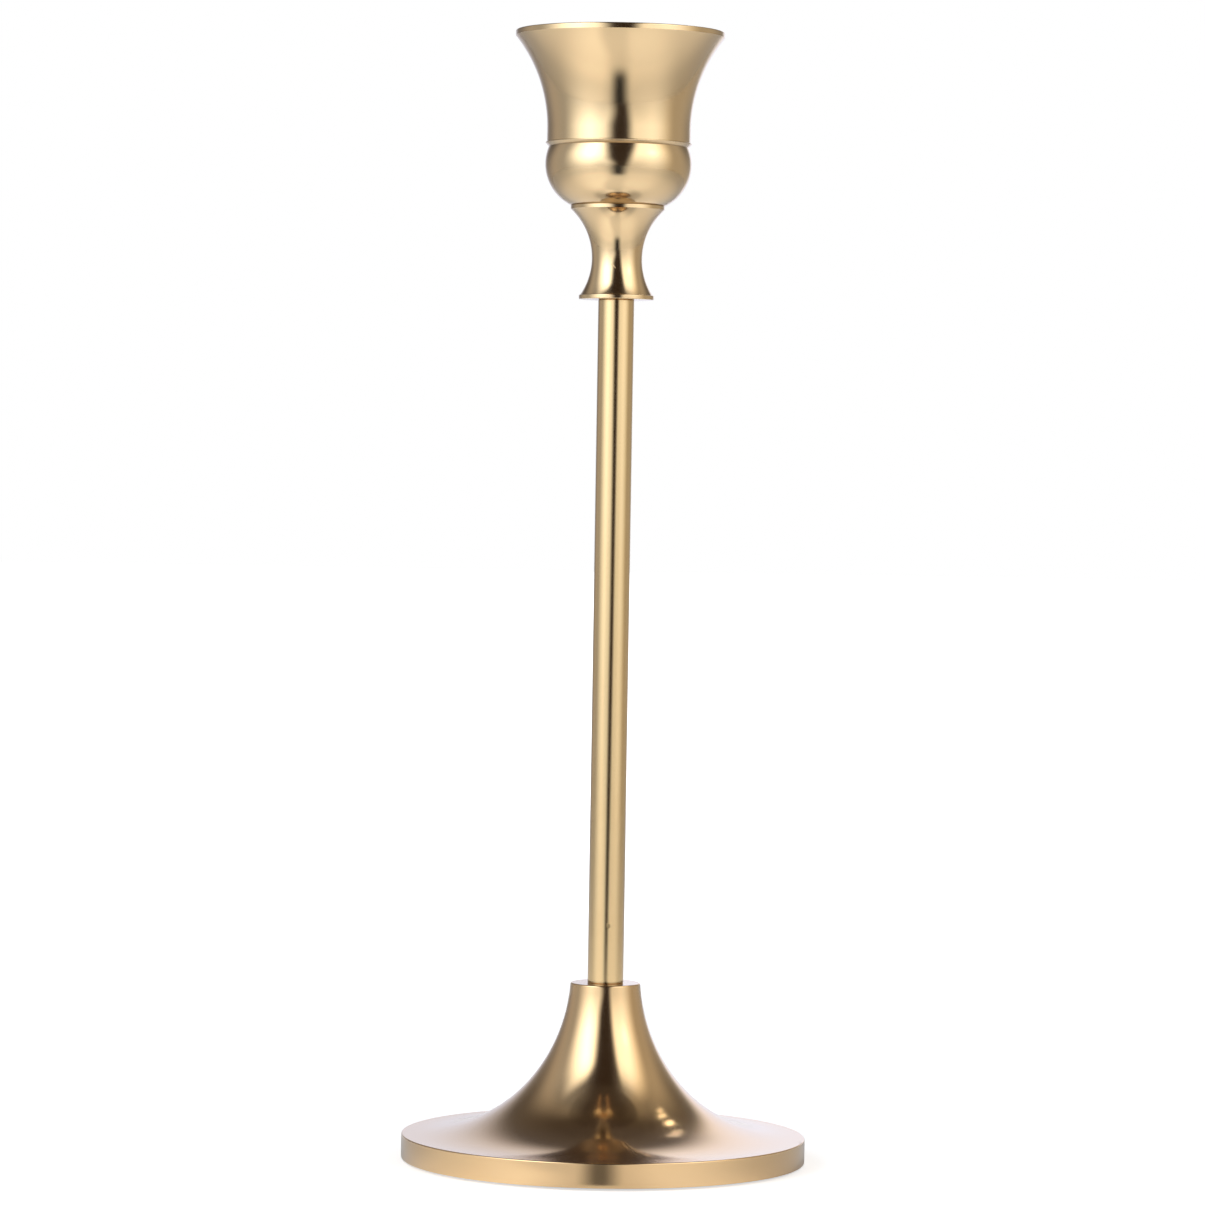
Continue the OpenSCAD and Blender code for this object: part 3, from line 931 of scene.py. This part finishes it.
class CANDLESTICK_OT_washers(bpy.types.Operator):
    """Coil the two spring washers"""

    bl_idname = "candlestick.washers"
    bl_label = "Spring washers"

    def execute(self, context):
        sizes = context.scene.candlestick_fasteners
        bevel = sizes.washer_bevel
        inner = sizes.washer_bore
        outer = sizes.washer_radius
        split = 2 * asin(sizes.washer_split / (inner + outer))
        for node in ("lower_washer", "upper_washer"):
            low, high = (corner.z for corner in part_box(node))
            outline = [
                (inner + bevel, low), (outer - bevel, low), (outer, low + bevel), (outer, high - bevel),
                (outer - bevel, high), (inner + bevel, high), (inner, high - bevel), (inner, low + bevel),
                (inner + bevel, low),
            ]
            piece = lathe(node + "_steel", outline, WASHER_STEPS, split)
            seat(piece, blued_steel(), "spring_steel", node)
        return {"FINISHED"}


class CANDLESTICK_OT_hardware(bpy.types.Operator):
    """Give the pieces that keep their CAD shape their finishes"""

    bl_idname = "candlestick.hardware"
    bl_label = "Hardware finishes"

    def execute(self, context):
        finishes = {
            "foot_socket": zinc_steel(),
            "tie_bolt": zinc_steel(),
            "cup_screw": zinc_steel(),
            "tie_washer": blued_steel(),
            "cup_washer": blued_steel(),
            "bottom_plate": rolled_steel(),
            "foot_weight": kept("ballast_iron", cast_iron),
        }
        for node, material in finishes.items():
            piece = frame["nodes"][node]
            if not piece.material_slots:
                piece.data.materials.append(material)
            for slot in piece.material_slots:
                slot.material = material
        return {"FINISHED"}


def first_mirror(finish):
    """1 for what a mirror shows itself, less for what it shows in another mirror."""
    bounces = finish.node("LightPath", None, None, "Glossy Depth")
    return 1 - (1 - SECOND_MIRROR) * rise(bounces, 1.2, 1.8)


def left_light(turn, z):
    """The bright left panel, whose edges lean with its height."""
    inner = turn + 2.5 * (1 - rise(z, 0.0, 0.15)) + 7.5 * rise(z, 0.05, 0.45)
    inner = inner + z * 7.5 + 18 * rise(z, 1.3, 2.3)
    outer = turn + 14 * rise(z, 1.2, 2.0)
    fade = (0.15 + 0.15 * rise(z, 0.05, 0.4)) * rise(turn, -50, -22)
    panel = rise(outer, -100, -41) * (1 - rise(inner, -19, 3)) * (1 - fade)
    return panel * (0.3 + 0.7 * rise(z, -0.08, 0.65)) * (1 - rise(z, 1.1, 2.3))


def right_light(turn, z):
    """The right panel, with a brighter spot in it."""
    panel = rise(turn - z * 15.5, 5.5, 21.5) * (1 - rise(turn - z * 8.0, 47, 98))
    panel = panel * (0.47 + 0.53 * rise(z, -0.05, 0.7)) * (1 - 0.9 * rise(z, 1.1, 2.6))
    spot = (((turn - 57) / 14) ** 2 + ((z - 0.65) / 0.24) ** 2).do("SQRT")
    return panel + (1 - rise(spot, 0.0, 1.0)) * 0.35


def back_light(turn, z):
    """The white card at the back, dimmer on its left."""
    right = (0.88 + 0.13 * rise(z, 0.1, 0.4)) * rise(turn, 150, 162) * (1 - rise(z, 0.5, 1.02))
    left = 0.71 * (1 - rise(turn, -176, -150)) * (1 - rise(z, 0.45, 0.97))
    return right + left


def wall_light(turn, z):
    """The side walls, dark in front and dimmer towards the back and the top."""
    side = abs(turn)
    dim = rise(side, 112, 146) * (0.1 + 0.65 * rise(z, 0.0, 0.7))
    walls = rise(side, 15, 85) * (1 - dim) * (1 - 0.5 * rise(z, 0.8, 2.0))
    return walls * (1 - 0.3 * (1 - rise(turn, -150, -120)))


def pane_light(turn, z):
    """The bright panes, with soft edges."""
    light = 0.0
    for low_turn, high_turn, low_z, high_z, level in PANES:
        light = light + band(turn, low_turn, high_turn, 1.0) * band(z, low_z, high_z, 0.05) * level
    return light


def roof_light(x, y, turn):
    """The dim roof, lighter near the side walls."""
    side = abs(turn)
    sky = rise(reach_of(x, y), 0.5, 1.1) * rise(side, 25, 75) * (1 - rise(side, 110, 150))
    return 0.02 + sky * (0.1 - 0.05 * rise(turn, 0, 60))


def tent_tint(turn):
    """The colour of the tent's light: cool on the left and at the back, warm on the far right."""
    tint = blend(rise(turn, -10, 30), opaque((0.94, 1.0, 1.08)), opaque((0.97, 1.0, 1.03)))
    tint = blend(rise(turn, 62, 95), tint, opaque((1.06, 1.0, 0.87)))
    tint = blend(1 - rise(turn, -125, -95), tint, opaque((1.02, 1.0, 0.98)))
    return blend(rise(abs(turn), 145, 165), tint, opaque((0.98, 1.0, 1.15)))


def tent_finish(levels):
    """The tent's light: panels, walls, a card and panes at the back, a dark front and two roof strips."""
    finish = new_finish("tent_light")
    x, y, z = own_place(own_vector(finish))
    turn = turn_of(x, y)
    first = first_mirror(finish)
    back = back_light(turn, z)
    panels = left_light(turn, z) * levels.left_panel + right_light(turn, z) * levels.right_panel
    sides = wall_light(turn, z) * (1 - back) * levels.side_walls + panels
    upright = sides * first + back * levels.back_card + pane_light(turn, z)
    above = roof_light(x, y, turn) + SECOND_ROOF * (1 - first)
    roof = rise(z, levels.tent_height - 0.05, levels.tent_height - 0.01)
    light = upright * (1 - roof) + above * roof
    strips = band(abs(x), 0.1, 0.22, 0.05) * band(y, -0.75, 0.3, 0.2) * roof
    tinted = finish.node("VectorMath", {"operation": "SCALE"}, {0: tent_tint(turn), "Scale": light})
    warm = finish.node("VectorMath", {"operation": "ADD"}, {0: tinted, 1: (0.033, 0.022, 0.013)})
    glow = finish.node("VectorMath", {"operation": "SCALE"}, {0: (0.32, 0.2, 0.11), "Scale": strips})
    total = finish.node("VectorMath", {"operation": "ADD"}, {0: warm, 1: glow})
    return finish.close(finish.node("Emission", None, {"Color": total}))


def mirrored_floor(x, y):
    """What mirrors see of the floor: grey, with painted shade close to the foot and painted light to the
    sides and in a strip behind.
    """
    turn = turn_of(x, y)
    away = reach_of(x, y)
    near = 1 - rise(away, 0.06, 0.62)
    # Painted shade on the floor close to the foot, deeper towards the sides, as mirrors see it
    close = 1 - rise(away, 0.07, 0.11)
    painted_foot_shade = 0.4 * rise(abs(turn), 25, 65) + 0.55 * rise(turn, 30, 90) + 0.55 * (1 - rise(turn, -110, -65))
    inner = turn + 20 * rise(away, 0.065, 0.085) * (1 - rise(away, 0.1, 0.26))
    # Painted light from the left and right panels, pooled on the floor
    left = rise(turn, -105, -45) * (1 - rise(inner, -30, -5))
    right = rise(turn, 3, 24) * (1 - rise(turn, 50, 98))
    sides = left * (0.4 - 0.1 * rise(away, 0.3, 0.6)) + right * 0.24
    sides = sides * (1 - 0.2 * band(away, 0.08, 0.35, 0.05) - 0.4 * band(away, 0.075, 0.125, 0.02))
    # Grey painted glow that fades away from the foot, with painted shade right beside it
    under = near * (0.385 - 0.06 * (1 - rise(away, 0.1, 0.18)) - 0.1 * close)
    # Painted strip of light on the floor behind the foot
    painted_strip_behind = (1 - rise(abs(x), 0.08, 0.14)) * rise(y, 0.1, 0.2) * (0.13 + 0.08 * rise(x, -0.03, 0.03))
    return (under + sides) * (1 - painted_foot_shade * close) * first_mirror(x.finish) + painted_strip_behind


def floor_finish(levels):
    """A floor that keeps the shadow, and shows white to the camera and painted light and shade to mirrors.
    """
    finish = new_finish("floor_white")
    vector = own_vector(finish)
    x, y, _ = own_place(vector)
    sheen = 0.8 + (cloud(vector, 30.0, 3.0) - 0.5) * 0.02
    diffuse = finish.node("BsdfDiffuse", None, {"Color": sheen})
    seen, mirrored, through = (
        finish.node("LightPath", None, None, name)
        for name in ("Is Camera Ray", "Is Glossy Ray", "Is Transmission Ray")
    )
    white = levels.floor_glow + (1 - levels.floor_glow) * rise(reach_of(x, y), 0.25, 0.6)
    glow = (seen + through) * white + mirrored * mirrored_floor(x, y)
    lit = finish.node("Emission", None, {"Color": glow})
    return finish.close(finish.node("AddShader", None, {0: diffuse, 1: lit}))


def floor_cover(x, y):
    """How dark the card on the floor is: a narrow wedge in front, which starts away from the foot."""
    return (1 - rise(abs(turn_of(x, y)), 1.0, 18.0)) * rise(0 - y, 0.28, 0.42)


def edge_cover(x, y):
    """How dark the card before the disc's edge is: a soft line at its middle."""
    return (1 - rise(abs(x + 0.0007), 0.0005, 0.0075)) * 0.8


def shade_finish(name, cover):
    """A dark card with soft edges, given by how much it covers at a place."""
    finish = new_finish(name)
    x, y, _ = own_place(own_vector(finish))
    dark = finish.node("Emission", None, {"Color": opaque((0.02, 0.02, 0.02))})
    clear = finish.node("BsdfTransparent")
    return finish.close(finish.node("MixShader", None, {0: cover(x, y), 1: clear, 2: dark}))


def stage_plane(name, material, corner_low, corner_high):
    """A flat or upright plane between two corners, set on the stage."""
    low, high = Vector(corner_low), Vector(corner_high)
    upright = abs(high.y - low.y) < abs(high.z - low.z)
    bpy.ops.object.select_all(action="DESELECT")
    turn = (pi / 2, 0.0, 0.0) if upright else (0.0, 0.0, 0.0)
    bpy.ops.mesh.primitive_plane_add(size=1.0, location=(low + high) / 2, rotation=turn)
    piece = bpy.context.object
    piece.name = name
    piece.data.name = name
    size = high - low
    piece.scale = (size.x, size.z if upright else size.y, 1.0)
    bpy.ops.object.transform_apply(location=True, rotation=True, scale=True)
    piece.data.materials.append(material)
    return piece


def only_mirrors(piece):
    """Show a stage piece to reflections alone."""
    piece.visible_camera = False
    piece.visible_diffuse = False
    piece.visible_shadow = False
    piece.visible_transmission = False


class CANDLESTICK_OT_stage(bpy.types.Operator):
    """Set up the white floor, the light tent, the dark cards and the camera"""

    bl_idname = "candlestick.stage"
    bl_label = "Stage"

    def execute(self, context):
        scene = context.scene
        levels = scene.candlestick_stage
        scene.view_settings.view_transform = "Standard"
        world = bpy.data.worlds.new("white_room")
        scene.world = world
        sky = Finish(world)
        white = sky.node("Background", None, {"Color": opaque((1.0, 1.0, 1.0)), "Strength": 1.0})
        sky.node("OutputWorld", None, {"Surface": white})
        corner = Vector((FLOOR_REACH, FLOOR_REACH, 0.0))
        drop = Vector((0.0, 0.0, -FLOOR_DROP))
        stage_plane("floor", floor_finish(levels), drop - corner, drop + corner)
        self.make_tent(levels)
        self.make_cards(levels)
        self.place_camera(scene, levels)
        return {"FINISHED"}

    def make_tent(self, levels):
        bpy.ops.object.select_all(action="DESELECT")
        bpy.ops.mesh.primitive_cylinder_add(
            vertices=128, radius=levels.tent_radius, depth=levels.tent_height, end_fill_type="NGON",
            location=(0.0, 0.0, levels.tent_height / 2))
        tent = bpy.context.object
        tent.name = "light_tent"
        bpy.ops.object.transform_apply(location=True, rotation=True, scale=True)
        select_faces(tent, lambda face: face.normal.z < -0.9)
        bpy.ops.mesh.delete(type="FACE")
        bpy.ops.object.mode_set(mode="OBJECT")
        tent.data.materials.append(tent_finish(levels))
        tent.visible_camera = False

    def make_cards(self, levels):
        card_z = 0.0005
        floor_low = (-0.4, -levels.tent_radius, card_z)
        floor_shade = shade_finish("floor_shade", floor_cover)
        only_mirrors(stage_plane("floor_shade", floor_shade, floor_low, (0.4, -0.25, card_z)))
        card_y = -FOOT_HIGH.x - 0.006
        edge_low = (-0.01, card_y, 0.0002)
        edge_shade = shade_finish("edge_shade", edge_cover)
        only_mirrors(stage_plane("edge_shade", edge_shade, edge_low, (0.011, card_y, 0.0056)))

    def place_camera(self, scene, levels):
        stand = Vector((0.0, -levels.camera_distance, levels.camera_height))
        aim = Vector((AIM_ASIDE, 0.0, levels.aim_height)) - stand
        bpy.ops.object.camera_add(location=stand)
        camera = bpy.context.object
        camera.name = "photo_camera"
        camera.rotation_mode = "QUATERNION"
        roll = Quaternion((0.0, 0.0, 1.0), radians(CAMERA_ROLL))
        camera.rotation_quaternion = aim.to_track_quat("-Z", "Y") @ roll
        camera.data.sensor_width = SENSOR_WIDTH
        camera.data.lens = levels.lens
        scene.camera = camera


class CANDLESTICK_PT_panel(bpy.types.Panel):
    """Lists the pieces of the candlestick and their sizes"""

    bl_idname = "CANDLESTICK_PT_panel"
    bl_label = "Candlestick"
    bl_space_type = "VIEW_3D"
    bl_region_type = "UI"
    bl_category = "Candlestick"

    def draw(self, context):
        layout = self.layout
        for operator in OPERATORS:
            layout.operator(operator.bl_idname)
        for name, group in GROUPS.items():
            box = layout.box()
            box.label(text=group.__doc__)
            sizes = getattr(context.scene, name)
            for size in group.__annotations__:
                box.prop(sizes, size)


GROUPS = {
    "candlestick_foot": FootSizes,
    "candlestick_stem": StemSizes,
    "candlestick_neck": NeckSizes,
    "candlestick_cup": CupSizes,
    "candlestick_socket": SocketSizes,
    "candlestick_fasteners": FastenerSizes,
    "candlestick_pad": PadSizes,
    "candlestick_brass": BrassFinishes,
    "candlestick_stage": StageLevels,
}
OPERATORS = (
    CANDLESTICK_OT_foot,
    CANDLESTICK_OT_stem,
    CANDLESTICK_OT_neck,
    CANDLESTICK_OT_cup,
    CANDLESTICK_OT_socket,
    CANDLESTICK_OT_pad,
    CANDLESTICK_OT_studs,
    CANDLESTICK_OT_washers,
    CANDLESTICK_OT_hardware,
    CANDLESTICK_OT_stage,
)


def register():
    for group in GROUPS.values():
        bpy.utils.register_class(group)
    for name, group in GROUPS.items():
        setattr(bpy.types.Scene, name, PointerProperty(type=group))
    for operator in OPERATORS:
        bpy.utils.register_class(operator)
    bpy.utils.register_class(CANDLESTICK_PT_panel)


def unregister():
    bpy.utils.unregister_class(CANDLESTICK_PT_panel)
    for operator in reversed(OPERATORS):
        bpy.utils.unregister_class(operator)
    for name, group in reversed(GROUPS.items()):
        delattr(bpy.types.Scene, name)
        bpy.utils.unregister_class(group)


def main():
    register()
    bpy.ops.candlestick.foot()
    bpy.ops.candlestick.stem()
    bpy.ops.candlestick.neck()
    bpy.ops.candlestick.cup()
    bpy.ops.candlestick.socket()
    bpy.ops.candlestick.pad()
    bpy.ops.candlestick.studs()
    bpy.ops.candlestick.washers()
    bpy.ops.candlestick.hardware()
    bpy.ops.candlestick.stage()


if __name__ == "__main__":
    main()
